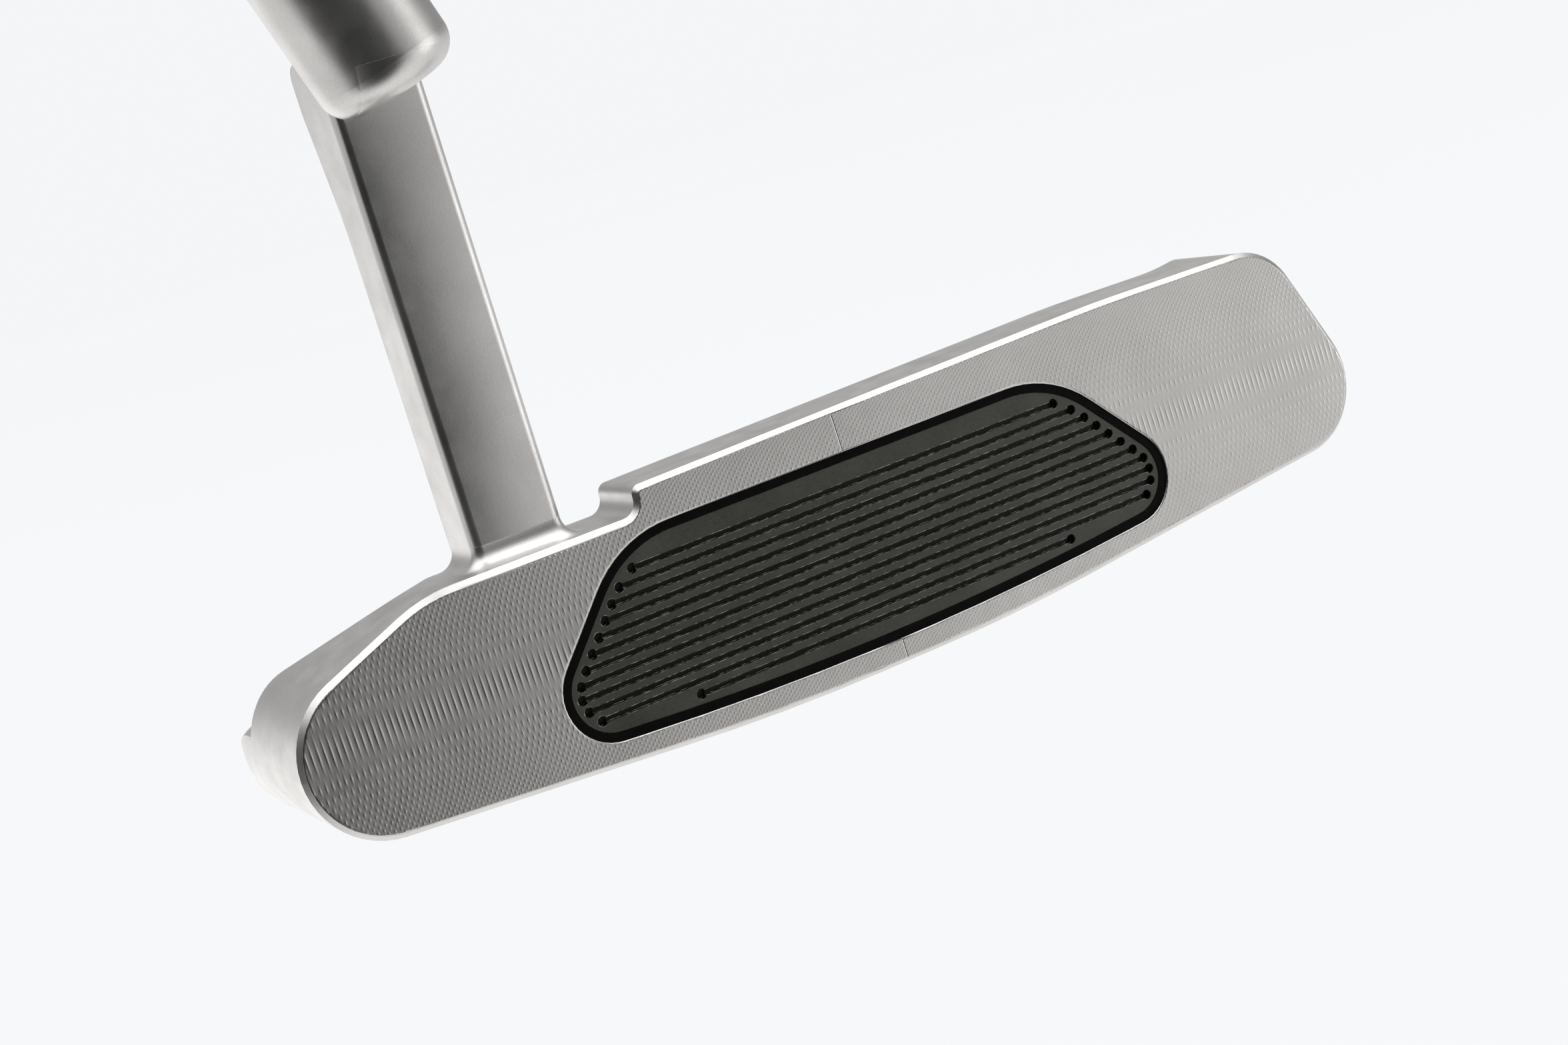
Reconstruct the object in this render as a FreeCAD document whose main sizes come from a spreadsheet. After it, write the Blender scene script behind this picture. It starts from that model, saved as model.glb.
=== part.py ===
# Blade putter: milled head with a plumber's neck, an aluminium face insert in a black bed, shaft and grip.
# Frame: +Z up, sole on z = 0, face towards -Y, toe towards +X. Origin: on the ground under the middle of the face.
import FreeCAD, Part
import math
import os

doc = FreeCAD.newDocument("blade_putter")
sheet = doc.addObject("Spreadsheet::Sheet", "Sizes")

SIZES = [
    # head
    ("loft_angle", 3.0),
    ("lie_angle", 72.0),
    ("head_depth", 26.0),
    ("front_overhang", 2.0),
    ("plan_half_length", 58.6),
    ("plan_corner_radius", 12.0),
    ("topline_back", 9.4),
    ("shoulder_height", 13.2),
    ("flange_height", 8.5),
    ("heel_shoulder_back", 15.6),
    ("heel_waist_back", 6.9),
    ("toe_shoulder_back", 14.5),
    ("cavity_heel", -33.0),
    ("cavity_toe", 41.0),
    ("cavity_flare", 5.0),
    ("cavity_corner_radius", 3.0),
    ("clearance_height", 30.0),
    ("sole_bevel_start", 15.0),
    ("sole_bevel_rise", 3.6),
    ("sole_flat_half", 13.0),
    ("base_height", 22.05),
    ("heel_end", -57.55),
    ("heel_sole_height", 3.75),
    ("heel_sole_radius", 7.7),
    ("heel_slope_height", 16.0),
    ("heel_slope_radius", 7.6),
    ("neck_base_heel", -42.4),
    ("neck_base_radius", 15.0),
    ("scoop_x", -21.1),
    ("scoop_low_radius", 1.5),
    ("scoop_high_radius", 0.9),
    ("topline_heel_height", 24.55),
    ("topline_toe_x", 31.0),
    ("topline_toe_height", 25.5),
    ("topline_bend_radius", 150.0),
    ("toe_top_x", 52.75),
    ("toe_top_height", 25.05),
    ("toe_top_radius", 6.4),
    ("toe_end", 61.1),
    ("toe_sole_height", 4.2),
    ("toe_sole_radius", 7.2),
    ("sole_heel_bend_radius", 250.0),
    ("sole_toe_bend_radius", 200.0),
    ("face_edge_chamfer", 0.42),
    ("back_edge_radius", 1.2),
    # neck and hosel
    ("neck_middle", -31.68),
    ("neck_width", 8.85),
    ("neck_front", 3.5),
    ("neck_back", 9.7),
    ("neck_root", 15.0),
    ("neck_top", 67.8),
    ("neck_foot_radius", 1.8),
    ("neck_edge_radius", 0.9),
    ("neck_flare_depth", 1.8),
    ("neck_flare_low", 54.0),
    ("neck_flare_high", 63.8),
    ("neck_flare_low_radius", 30.0),
    ("neck_flare_high_radius", 6.0),
    ("neck_top_radius", 1.5),
    ("neck_top_rise", 2.0),
    ("hosel_ground_x", -10.65),
    ("hosel_axis_y", -1.1),
    ("hosel_diameter", 12.5),
    ("hosel_foot", 66.6),
    ("hosel_length", 30.0),
    ("hosel_rim_radius", 2.7),
    ("hosel_mouth_chamfer", 0.5),
    ("bore_diameter", 9.7),
    ("bore_depth", 26.0),
    # face insert
    ("insert_top", 20.75),
    ("insert_top_half", 23.8),
    ("insert_top_radius", 11.7),
    ("insert_wide_half", 38.7),
    ("insert_corner_radius", 4.7),
    ("insert_low_height", 1.22),
    ("insert_low_rise", 3.13),
    ("insert_low_radius", 340.0),
    ("pocket_depth", 4.5),
    ("bond_thickness", 0.15),
    ("bed_floor", 0.85),
    ("bed_rim", 0.85),
    ("bed_recess", 0.12),
    ("insert_recess", 0.2),
    ("groove_count", 12),
    ("groove_pitch", 1.18),
    ("first_groove", 17.75),
    ("groove_inset", 1.8),
    ("groove_width", 0.5),
    ("groove_depth", 0.45),
    ("groove_hole_diameter", 0.95),
    ("groove_hole_depth", 0.7),
    # sole weights and sight line
    ("weight_heel_x", -42.0),
    ("weight_toe_x", 43.0),
    ("weight_y", 9.5),
    ("weight_diameter", 11.0),
    ("weight_clearance", 0.1),
    ("weight_thickness", 4.5),
    ("weight_recess", 0.4),
    ("weight_socket", 4.0),
    ("weight_socket_depth", 2.5),
    ("weight_edge_chamfer", 0.3),
    ("heel_sole_slope", 4.8),
    ("toe_sole_slope", 4.95),
    ("sight_line_width", 1.6),
    ("sight_line_length", 12.0),
    ("sight_line_depth", 0.4),
    ("sight_line_start", 12.4),
    ("sight_line_recess", 0.05),
    # shaft, measured along its axis from the ground
    ("putter_length", 864.0),
    ("shaft_tip_diameter", 9.4),
    ("shaft_butt_diameter", 15.0),
    ("shaft_wall", 1.0),
    ("shaft_steps", 10),
    ("shaft_first_step", 300.0),
    ("shaft_step_pitch", 32.0),
    ("shaft_step_chamfer", 0.6),
    ("cap_thickness", 3.0),
    ("plug_length", 12.0),
    ("band_start", 431.0),
    ("band_length", 26.0),
    ("band_thickness", 0.15),
    ("tape_thickness", 0.3),
    # grip
    ("grip_length", 268.0),
    ("grip_low_half", 10.2),
    ("grip_mid_half", 11.8),
    ("grip_high_half", 13.4),
    ("grip_flat_low", 8.8),
    ("grip_flat_mid", 9.8),
    ("grip_flat_high", 10.8),
    ("grip_corner_radius", 4.5),
    ("grip_back_roundness", 0.9),
    ("grip_skin", 1.4),
    ("cap_vent_diameter", 2.5),
    ("cap_lip_depth", 6.0),
    ("collar_length", 6.0),
    ("collar_radius", 1.5),
]
for row, (alias, number) in enumerate(SIZES, start=1):
    sheet.set(f"A{row}", alias)
    sheet.set(f"B{row}", str(number))
    sheet.setAlias(f"B{row}", alias)
doc.recompute()


def size(alias):
    """The number in one named cell of the sheet."""
    return float(sheet.get(alias))


def bind(thing, **cells):
    """Binds properties of a document object to expressions on the sheet."""
    for name, expression in cells.items():
        thing.setExpression(name, expression)


def cell(alias):
    return f"Sizes.{alias}"


def vector(x, y, z=0.0):
    return FreeCAD.Vector(x, y, z)


# ---- sketch helpers ----

def rounded_outline(corners):
    """Lines and tangent arcs of a closed polygon whose corners are (x, y, radius)."""
    trimmed = []
    count = len(corners)
    for index, (x, y, radius) in enumerate(corners):
        here = vector(x, y)
        before = vector(*corners[index - 1][:2]) - here
        after = vector(*corners[(index + 1) % count][:2]) - here
        if radius == 0:
            trimmed.append((here, None, here))
            continue
        half_angle = before.getAngle(after) / 2
        reach = radius / math.tan(half_angle)
        enter = here + before.normalize() * reach
        leave = here + after.normalize() * reach
        bisector = (before + after).normalize()
        centre = here + bisector * (radius / math.sin(half_angle))
        trimmed.append((enter, centre - bisector * radius, leave))
    pieces = []
    for index, (enter, middle, leave) in enumerate(trimmed):
        if middle is not None:
            pieces.append(Part.Arc(enter, middle, leave))
        next_enter = trimmed[(index + 1) % count][0]
        if leave.distanceToPoint(next_enter) > 1e-6:
            pieces.append(Part.LineSegment(leave, next_enter))
    return pieces


def outline_wire(pieces):
    return Part.Wire(Part.__sortEdges__([piece.toShape() for piece in pieces]))


def box_outline(low_x, low_y, high_x, high_y, radius=0.0):
    corners = [(low_x, low_y), (high_x, low_y), (high_x, high_y), (low_x, high_y)]
    return rounded_outline([(x, y, radius) for x, y in corners])


def wire_pieces(wire):
    """The curves of a flat wire, as sketch geometry."""
    pieces = []
    for edge in wire.OrderedEdges:
        start, end = edge.valueAt(edge.FirstParameter), edge.valueAt(edge.LastParameter)
        if isinstance(edge.Curve, Part.Line):
            pieces.append(Part.LineSegment(start, end))
        else:
            middle = edge.valueAt((edge.FirstParameter + edge.LastParameter) / 2)
            pieces.append(Part.Arc(start, middle, end))
    return pieces


def new_body(label):
    body = doc.addObject("PartDesign::Body", label)
    body.Label = label
    return body


def new_sketch(body, name, role, pieces, offset=None):
    """A sketch on one of the body's origin planes, moved by offset within the plane's own axes."""
    sketch = body.newObject("Sketcher::SketchObject", name)
    plane = [item for item in body.Origin.OriginFeatures if item.Role == role][0]
    sketch.AttachmentSupport = [(plane, "")]
    sketch.MapMode = "FlatFace"
    if offset is not None:
        sketch.AttachmentOffset = offset
    sketch.addGeometry(pieces, False)
    doc.recompute()
    return sketch


def new_pad(body, name, sketch, length, inward=False, midplane=False):
    pad = body.newObject("PartDesign::Pad", name)
    pad.Profile = sketch
    pad.Reversed = inward
    pad.SideType = "Symmetric" if midplane else "One side"
    bind(pad, Length=length)
    doc.recompute()
    return pad


def new_pocket(body, name, sketch, length, flipped=False, midplane=False):
    """A pocket that has to remove material."""
    before = body.Shape.Volume
    pocket = body.newObject("PartDesign::Pocket", name)
    pocket.Profile = sketch
    pocket.Reversed = flipped
    pocket.SideType = "Symmetric" if midplane else "One side"
    bind(pocket, Length=length)
    doc.recompute()
    if not body.Shape.Volume < before - 1e-3:
        raise RuntimeError(f"{name} cuts nothing")
    return pocket


def new_fillet(body, name, edges, radius):
    """Rounds the edges of the body's last feature that the test edges(edge) picks."""
    base = body.Tip
    names = [f"Edge{number}" for number, edge in enumerate(base.Shape.Edges, start=1) if edges(edge)]
    fillet = body.newObject("PartDesign::Fillet", name)
    fillet.Base = (base, names)
    bind(fillet, Radius=radius)
    doc.recompute()
    if fillet.Shape.isNull() or not fillet.Shape.isValid():
        raise RuntimeError(f"{name} fails on {len(names)} edges")
    return fillet


def new_chamfer(body, name, edges, width):
    """Bevels the edges of the body's last feature that the test edges(edge) picks."""
    base = body.Tip
    names = [f"Edge{number}" for number, edge in enumerate(base.Shape.Edges, start=1) if edges(edge)]
    chamfer = body.newObject("PartDesign::Chamfer", name)
    chamfer.Base = (base, names)
    bind(chamfer, Size=width)
    doc.recompute()
    if chamfer.Shape.isNull() or not chamfer.Shape.isValid():
        raise RuntimeError(f"{name} fails on {len(names)} edges")
    return chamfer


LOFT = size("loft_angle")
FACE_TILT = FreeCAD.Placement(vector(0, 0, 0), FreeCAD.Rotation(vector(1, 0, 0), -LOFT))
LEAN = 90 - size("lie_angle")


def face_offset(depth):
    """A plane parallel to the lofted face, depth mm behind it."""
    return FACE_TILT.multiply(FreeCAD.Placement(vector(0, 0, -depth), FreeCAD.Rotation()))


def along_shaft(distance):
    """The place on the shaft's axis that lies distance mm from the ground, +Z up the shaft."""
    turn = FreeCAD.Rotation(vector(0, 1, 0), -LEAN)
    foot = vector(size("hosel_ground_x"), size("hosel_axis_y"), 0)
    return FreeCAD.Placement(foot + turn.multVec(vector(0, 0, distance)), turn)


# ---- head ----

def blade_outline():
    """The blade seen from the front: sole, toe, topline, scoop, neck base and heel."""
    base = size("base_height")
    return rounded_outline([
        (-size("sole_flat_half"), 0.0, size("sole_heel_bend_radius")),
        (size("sole_flat_half"), 0.0, size("sole_toe_bend_radius")),
        (size("toe_end"), size("toe_sole_height"), size("toe_sole_radius")),
        (size("toe_top_x"), size("toe_top_height"), size("toe_top_radius")),
        (size("topline_toe_x"), size("topline_toe_height"), size("topline_bend_radius")),
        (size("scoop_x"), size("topline_heel_height"), size("scoop_high_radius")),
        (size("scoop_x"), base, size("scoop_low_radius")),
        (size("neck_base_heel"), base, size("neck_base_radius")),
        (size("heel_end"), size("heel_slope_height"), size("heel_slope_radius")),
        (size("heel_end"), size("heel_sole_height"), size("heel_sole_radius")),
    ])


def plan_cut():
    """Everything outside the head's outline seen from above, whose rear corners are round."""
    half, back, margin = size("plan_half_length"), size("head_depth"), 10.0
    radius = size("plan_corner_radius")
    front = -margin
    outer = box_outline(-half - margin, front - margin, half + margin, back + margin)
    inner = rounded_outline([
        (-half, front, 0.0),
        (half, front, 0.0),
        (half, back, radius),
        (-half, back, radius),
    ])
    return outer + inner


def shoulder_cut():
    """The step behind the topline, which runs back to the two bumpers."""
    far, behind = 70.0, 40.0
    topline, heel_back, toe_back = size("topline_back"), size("heel_shoulder_back"), size("toe_shoulder_back")
    return rounded_outline([
        (-far, behind, 0.0),
        (-far, heel_back, 0.0),
        (-54.0, heel_back, 5.0),
        (-42.5, size("heel_waist_back"), 4.0),
        (-39.0, topline, 1.5),
        (44.0, topline, 9.0),
        (52.5, toe_back, 6.0),
        (far, toe_back, 0.0),
        (far, behind, 0.0),
    ])


def cavity_cut():
    """The cavity over the flange, open to the back and wider there."""
    behind, radius, flare = 40.0, size("cavity_corner_radius"), size("cavity_flare")
    topline = size("topline_back")
    return rounded_outline([
        (size("cavity_heel"), topline, radius),
        (size("cavity_toe"), topline, radius),
        (size("cavity_toe") + flare, behind, 0.0),
        (size("cavity_heel") - flare, behind, 0.0),
    ])


def insert_corners():
    """Corners of the insert pocket in the face, symmetric about its middle."""
    low, top = size("insert_low_height"), size("insert_top")
    wide, shoulder = size("insert_wide_half"), low + size("insert_low_rise")
    top_half = size("insert_top_half")
    return [
        (0.0, low, size("insert_low_radius")),
        (wide, shoulder, size("insert_corner_radius")),
        (top_half, top, size("insert_top_radius")),
        (-top_half, top, size("insert_top_radius")),
        (-wide, shoulder, size("insert_corner_radius")),
    ]


def insert_wire(inset=0.0):
    """The insert pocket's outline, moved inwards by inset."""
    wire = outline_wire(rounded_outline(insert_corners()))
    if inset > 0:
        wire = wire.makeOffset2D(-inset)
        wire = wire if isinstance(wire, Part.Wire) else wire.Wires[0]
    return wire


def on_face(edge):
    """An edge that bounds the lofted face."""
    slope = math.tan(math.radians(LOFT))
    points = edge.discretize(5)
    return all(abs(point.y - point.z * slope) < 1e-3 for point in points)


def on_back(edge):
    """An edge along the rear top of the flange, the shoulders or the bumpers."""
    points = edge.discretize(5)
    levels = (size("flange_height"), size("shoulder_height"))
    behind = size("topline_back") + 1.0
    level = any(all(abs(point.z - height) < 1e-3 for point in points) for height in levels)
    return level and all(point.y > behind for point in points) and points[2].y > size("head_depth") - 0.1


def cut_insert_pocket(body):
    outline = new_sketch(body, "insert_outline", "XZ_Plane", wire_pieces(insert_wire()), FACE_TILT)
    new_pocket(body, "insert_pocket", outline, cell("pocket_depth"))


def weight_places():
    """Heel and toe weight: name, place of the sole-side face, with +Z into the head."""
    places = []
    for name, x, turn in (("heel", size("weight_heel_x"), size("heel_sole_slope")),
                          ("toe", size("weight_toe_x"), -size("toe_sole_slope"))):
        sole = (abs(x) - size("sole_flat_half")) * math.tan(math.radians(abs(turn)))
        height = sole + size("weight_recess")
        spot = vector(x, size("weight_y"), height)
        places.append((name, FreeCAD.Placement(spot, FreeCAD.Rotation(vector(0, 1, 0), turn))))
    return places


def cut_weight_seats(body):
    radius = size("weight_diameter") / 2 + size("weight_clearance")
    for name, place in weight_places():
        circle = Part.Circle(vector(0, 0), vector(0, 0, 1), radius)
        seat_end = place.multiply(FreeCAD.Placement(vector(0, 0, size("weight_thickness")), FreeCAD.Rotation()))
        seat = new_sketch(body, f"{name}_weight_seat", "XY_Plane", [circle], seat_end)
        new_pocket(body, f"{name}_weight_hole", seat, f"2 * {cell('weight_thickness')}")


def sight_line_outline():
    half, start = size("sight_line_width") / 2, size("sight_line_start")
    return box_outline(-half, start, half, start + size("sight_line_length"))


def cut_sight_line(body):
    floor = size("flange_height") - size("sight_line_depth")
    place = FreeCAD.Placement(vector(0, 0, floor), FreeCAD.Rotation())
    outline = new_sketch(body, "sight_line_outline", "XY_Plane", sight_line_outline(), place)
    new_pocket(body, "sight_line_groove", outline, f"2 * {cell('sight_line_depth')}", flipped=True)


def add_neck(body):
    """The plumber's neck: an upright post whose back flares out towards the hosel."""
    front, back, root = size("neck_front"), size("neck_back"), size("neck_root")
    top, low = size("neck_top"), size("neck_flare_low")
    flare = back + size("neck_flare_depth")
    middle = FreeCAD.Placement(vector(0, 0, size("neck_middle")), FreeCAD.Rotation())
    profile = rounded_outline([
        (front, root, 0.0),
        (back, root, 0.0),
        (back, low, size("neck_flare_low_radius")),
        (flare, size("neck_flare_high"), size("neck_flare_high_radius")),
        (flare, top, size("neck_top_radius")),
        (front, top + size("neck_top_rise"), 0.0),
    ])
    post = new_sketch(body, "neck_side", "YZ_Plane", profile, middle)
    new_pad(body, "neck", post, cell("neck_width"), midplane=True)
    new_fillet(body, "neck_edge", on_neck_front, cell("neck_edge_radius"))
    new_fillet(body, "neck_foot", on_neck_foot, cell("neck_foot_radius"))


def on_neck_front(edge):
    """An upright front corner of the neck, clear of the blade."""
    box = edge.BoundBox
    side = abs(abs(box.Center.x - size("neck_middle")) - size("neck_width") / 2) < 1e-3
    front = box.YMax < size("neck_front") + 1e-3
    return side and front and box.ZMin > size("base_height") - 1e-3


def on_neck_foot(edge):
    """The foot of the neck's front and sides, where it meets the flat neck base."""
    points = edge.discretize(5)
    reach, back = size("neck_width") / 2 + 1e-3, size("neck_back") + 1e-3
    level = all(abs(point.z - size("base_height")) < 1e-3 for point in points)
    inside = all(abs(point.x - size("neck_middle")) < reach and point.y < back for point in points)
    ahead = points[2].y < size("neck_back") - 1e-3
    return level and inside and ahead


def hosel_frame():
    """The hosel's own plane: x is the radius and y runs up the leaning axis."""
    return FreeCAD.Placement(vector(size("hosel_ground_x"), 0, -size("hosel_axis_y")),
                             FreeCAD.Rotation(vector(0, 0, 1), LEAN))


def turned(body, kind, name, sketch):
    """A revolution or groove of a sketch about its own upright axis."""
    feature = body.newObject(f"PartDesign::{kind}", name)
    feature.Profile = sketch
    feature.ReferenceAxis = (sketch, ["V_Axis"])
    feature.Angle = 360
    doc.recompute()
    return feature


def add_hosel(body):
    """The leaning hosel cylinder with its round lower rim and the bore for the shaft."""
    outer, foot = size("hosel_diameter") / 2, size("hosel_foot")
    top = foot + size("hosel_length")
    profile = rounded_outline([
        (0.0, foot, 0.0),
        (outer, foot, size("hosel_rim_radius")),
        (outer, top, 0.0),
        (0.0, top, 0.0),
    ])
    cylinder = new_sketch(body, "hosel_profile", "XZ_Plane", profile, hosel_frame())
    turned(body, "Revolution", "hosel", cylinder)
    bore, mouth = size("bore_diameter") / 2, size("hosel_mouth_chamfer")
    hole = rounded_outline([
        (0.0, top - size("bore_depth"), 0.0),
        (bore, top - size("bore_depth"), 0.0),
        (bore, top - mouth, 0.0),
        (bore + 2 * mouth, top + mouth, 0.0),
        (0.0, top + mouth, 0.0),
    ])
    before = body.Shape.Volume
    sketch = new_sketch(body, "bore_profile", "XZ_Plane", hole, hosel_frame())
    turned(body, "Groove", "shaft_bore", sketch)
    if not body.Shape.Volume < before - 1.0:
        raise RuntimeError("shaft_bore cuts nothing")


def build_head():
    body = new_body("putter_head")
    overhang = size("front_overhang")
    start = FreeCAD.Placement(vector(0, 0, overhang), FreeCAD.Rotation())
    front = new_sketch(body, "blade_outline", "XZ_Plane", blade_outline(), start)
    new_pad(body, "blade", front, f"{cell('head_depth')} + {cell('front_overhang')}", inward=True)

    height, below = size("clearance_height"), 5.0
    slope = math.tan(math.radians(LOFT))
    wedge = rounded_outline([(-below, -below, 0), (-below * slope, -below, 0),
                             (height * slope, height, 0), (-below, height, 0)])
    side = new_sketch(body, "face_side", "YZ_Plane", wedge)
    new_pocket(body, "lofted_face", side, f"4 * {cell('plan_half_length')}", midplane=True)

    plan = new_sketch(body, "plan_outline", "XY_Plane", plan_cut())
    new_pocket(body, "plan_shape", plan, f"3 * {cell('clearance_height')}", midplane=True)

    over = FreeCAD.Placement(vector(0, 0, size("shoulder_height")), FreeCAD.Rotation())
    shoulder = new_sketch(body, "shoulder_outline", "XY_Plane", shoulder_cut(), over)
    new_pocket(body, "shoulders", shoulder, cell("clearance_height"), flipped=True)

    over = FreeCAD.Placement(vector(0, 0, size("flange_height")), FreeCAD.Rotation())
    cavity = new_sketch(body, "cavity_outline", "XY_Plane", cavity_cut(), over)
    new_pocket(body, "cavity", cavity, cell("clearance_height"), flipped=True)

    bevel_start, back, rise = size("sole_bevel_start"), size("head_depth"), size("sole_bevel_rise")
    past = back + below
    bevel = rounded_outline([(bevel_start, 0, 0), (bevel_start, -below, 0), (past, -below, 0),
                             (past, rise * (past - bevel_start) / (back - bevel_start), 0)])
    sole = new_sketch(body, "sole_bevel_side", "YZ_Plane", bevel)
    new_pocket(body, "sole_bevel", sole, f"4 * {cell('plan_half_length')}", midplane=True)

    new_chamfer(body, "face_edge", on_face, cell("face_edge_chamfer"))
    new_fillet(body, "back_edge", on_back, cell("back_edge_radius"))
    cut_insert_pocket(body)
    cut_weight_seats(body)
    cut_sight_line(body)
    add_neck(body)
    add_hosel(body)
    return body


# ---- face insert ----

def face_plate(label, inset, front, back):
    """A plate of the insert's outline that lies between two depths behind the face."""
    body = new_body(label)
    outline = new_sketch(body, f"{label}_outline", "XZ_Plane", wire_pieces(insert_wire(inset)), face_offset(front))
    new_pad(body, f"{label}_plate", outline, f"{back} - {front}", inward=True)
    return body


def build_insert_bond():
    back = size("pocket_depth")
    return face_plate("insert_bond_film", 0.0, back - size("bond_thickness"), back)


def build_insert_bed():
    back = size("pocket_depth") - size("bond_thickness")
    body = face_plate("insert_bed", 0.0, size("bed_recess"), back)
    inner = wire_pieces(insert_wire(size("bed_rim")))
    seat = new_sketch(body, "bed_seat_outline", "XZ_Plane", inner, face_offset(size("bed_recess")))
    new_pocket(body, "bed_seat", seat, f"{back - size('bed_floor')} - {cell('bed_recess')}")
    return body


def groove_rows():
    """Each groove's height on the face and half its length, which ends just inside the pocket's outline."""
    limit = insert_wire(size("groove_inset"))
    rows = []
    for number in range(int(size("groove_count"))):
        height = size("first_groove") - number * size("groove_pitch")
        line = Part.makeLine(vector(-60, height), vector(60, height))
        rows.append((height, max(point.X for point in limit.section(line).Vertexes)))
    return rows


def build_face_insert():
    front = size("insert_recess")
    back = size("pocket_depth") - size("bond_thickness") - size("bed_floor")
    body = face_plate("face_insert", size("bed_rim"), front, back)
    half_width, radius = size("groove_width") / 2, size("groove_hole_diameter") / 2
    grooves, holes = [], []
    for height, half in groove_rows():
        grooves += box_outline(-half, height - half_width, half, height + half_width)
        for x in (-half, half):
            holes.append(Part.Circle(vector(x, height), vector(0, 0, 1), radius))
    plane = face_offset(front)
    new_pocket(body, "grooves", new_sketch(body, "groove_lines", "XZ_Plane", grooves, plane), cell("groove_depth"))
    new_pocket(body, "groove_ends", new_sketch(body, "groove_holes", "XZ_Plane", holes, plane),
               cell("groove_hole_depth"))
    return body


# ---- sole weights and sight line ----

def build_weight(name, place):
    """A round threaded weight with a hexagonal key socket, in its own frame."""
    body = new_body(f"sole_weight_{name}")
    radius, rim, thick = size("weight_diameter") / 2, size("weight_edge_chamfer"), size("weight_thickness")
    profile = rounded_outline([(0, 0, 0), (radius - rim, 0, 0), (radius, rim, 0), (radius, thick, 0), (0, thick, 0)])
    turned(body, "Revolution", f"{name}_disc", new_sketch(body, f"{name}_disc_profile", "XZ_Plane", profile))
    across = size("weight_socket") / math.sqrt(3)
    turns = [math.radians(60 * number) for number in range(6)]
    corners = [(across * math.cos(turn), across * math.sin(turn), 0.0) for turn in turns]
    socket = new_sketch(body, f"{name}_socket_outline", "XY_Plane", rounded_outline(corners))
    new_pocket(body, f"{name}_socket", socket, cell("weight_socket_depth"), flipped=True)
    body.Placement = place
    return body


def build_sight_line():
    body = new_body("sight_line_paint")
    floor = size("flange_height") - size("sight_line_depth")
    place = FreeCAD.Placement(vector(0, 0, floor), FreeCAD.Rotation())
    outline = new_sketch(body, "paint_outline", "XY_Plane", sight_line_outline(), place)
    new_pad(body, "paint", outline, f"{cell('sight_line_depth')} - {cell('sight_line_recess')}")
    return body


# ---- shaft ----

def shaft_radius(distance):
    """The stepped tube's outer radius at a distance from the ground."""
    steps, tip, butt = size("shaft_steps"), size("shaft_tip_diameter"), size("shaft_butt_diameter")
    passed = (distance - size("shaft_first_step")) // size("shaft_step_pitch") + 1
    return (tip + (butt - tip) * min(max(passed, 0), steps) / steps) / 2


def shaft_start():
    return size("hosel_foot") + size("hosel_length") - size("bore_depth")


def shaft_end():
    return size("putter_length") - size("cap_thickness")


def turned_body(label, corners):
    """A body turned about the shaft's axis, from (radius, distance from the ground) corners."""
    body = new_body(label)
    profile = new_sketch(body, f"{label}_profile", "XZ_Plane", rounded_outline(corners))
    turned(body, "Revolution", f"{label}_turned", profile)
    body.Placement = along_shaft(0)
    return body


def sleeve(label, inner, outer, start, end):
    return turned_body(label, [(inner, start, 0), (outer, start, 0), (outer, end, 0), (inner, end, 0)])


def build_shaft():
    start, end, chamfer = shaft_start(), shaft_end(), size("shaft_step_chamfer")
    corners = [(shaft_radius(start), start, 0.0)]
    for number in range(int(size("shaft_steps"))):
        step = size("shaft_first_step") + number * size("shaft_step_pitch")
        corners.append((shaft_radius(step - 1.0), step, 0.0))
        corners.append((shaft_radius(step + 1.0), step + chamfer, 0.0))
    corners.append((shaft_radius(end), end, 0.0))
    wall = size("shaft_wall")
    inside = [(radius - wall, distance, 0.0) for radius, distance, _ in reversed(corners)]
    return turned_body("shaft", corners + inside)


def build_tip_plug():
    start, radius = shaft_start(), size("shaft_tip_diameter") / 2 - size("shaft_wall")
    end = start + size("plug_length")
    return turned_body("shaft_tip_plug", [(0, start, 0), (radius, start, 0), (radius, end, 0), (0, end, 0)])


def build_epoxy():
    start = shaft_start()
    end = size("hosel_foot") + size("hosel_length") - size("hosel_mouth_chamfer")
    return sleeve("hosel_epoxy", size("shaft_tip_diameter") / 2, size("bore_diameter") / 2, start, end)


def build_band():
    start = size("band_start")
    inner = shaft_radius(start)
    return sleeve("shaft_band", inner, inner + size("band_thickness"), start, start + size("band_length"))


# ---- grip ----

def grip_start():
    return shaft_end() - size("grip_length")


def grip_outline(half, flat, inset):
    """The grip's section: a flat front and a round back, moved inwards by inset."""
    corner = size("grip_corner_radius") - inset
    round_back = half * size("grip_back_roundness") - inset
    low, side, back = inset - flat, half - inset, half - inset
    return rounded_outline([(-side, low, corner), (side, low, corner), (side, back, round_back),
                            (-side, back, round_back)])


def grip_sections(inset):
    start, end = grip_start(), shaft_end()
    middle = (start + end) / 2
    return [
        (start, grip_outline(size("grip_low_half"), size("grip_flat_low"), inset)),
        (middle, grip_outline(size("grip_mid_half"), size("grip_flat_mid"), inset)),
        (end, grip_outline(size("grip_high_half"), size("grip_flat_high"), inset)),
    ]


def loft(body, kind, name, sections):
    sketches = []
    for number, (height, pieces) in enumerate(sections):
        place = FreeCAD.Placement(vector(0, 0, height), FreeCAD.Rotation())
        sketches.append(new_sketch(body, f"{name}_section_{number}", "XY_Plane", pieces, place))
    feature = body.newObject(f"PartDesign::{kind}", name)
    feature.Profile = sketches[0]
    feature.Sections = sketches[1:]
    doc.recompute()
    return feature


def build_grip_tape():
    inner = size("shaft_butt_diameter") / 2
    return sleeve("grip_tape", inner, inner + size("tape_thickness"), grip_start(), shaft_end())


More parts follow.
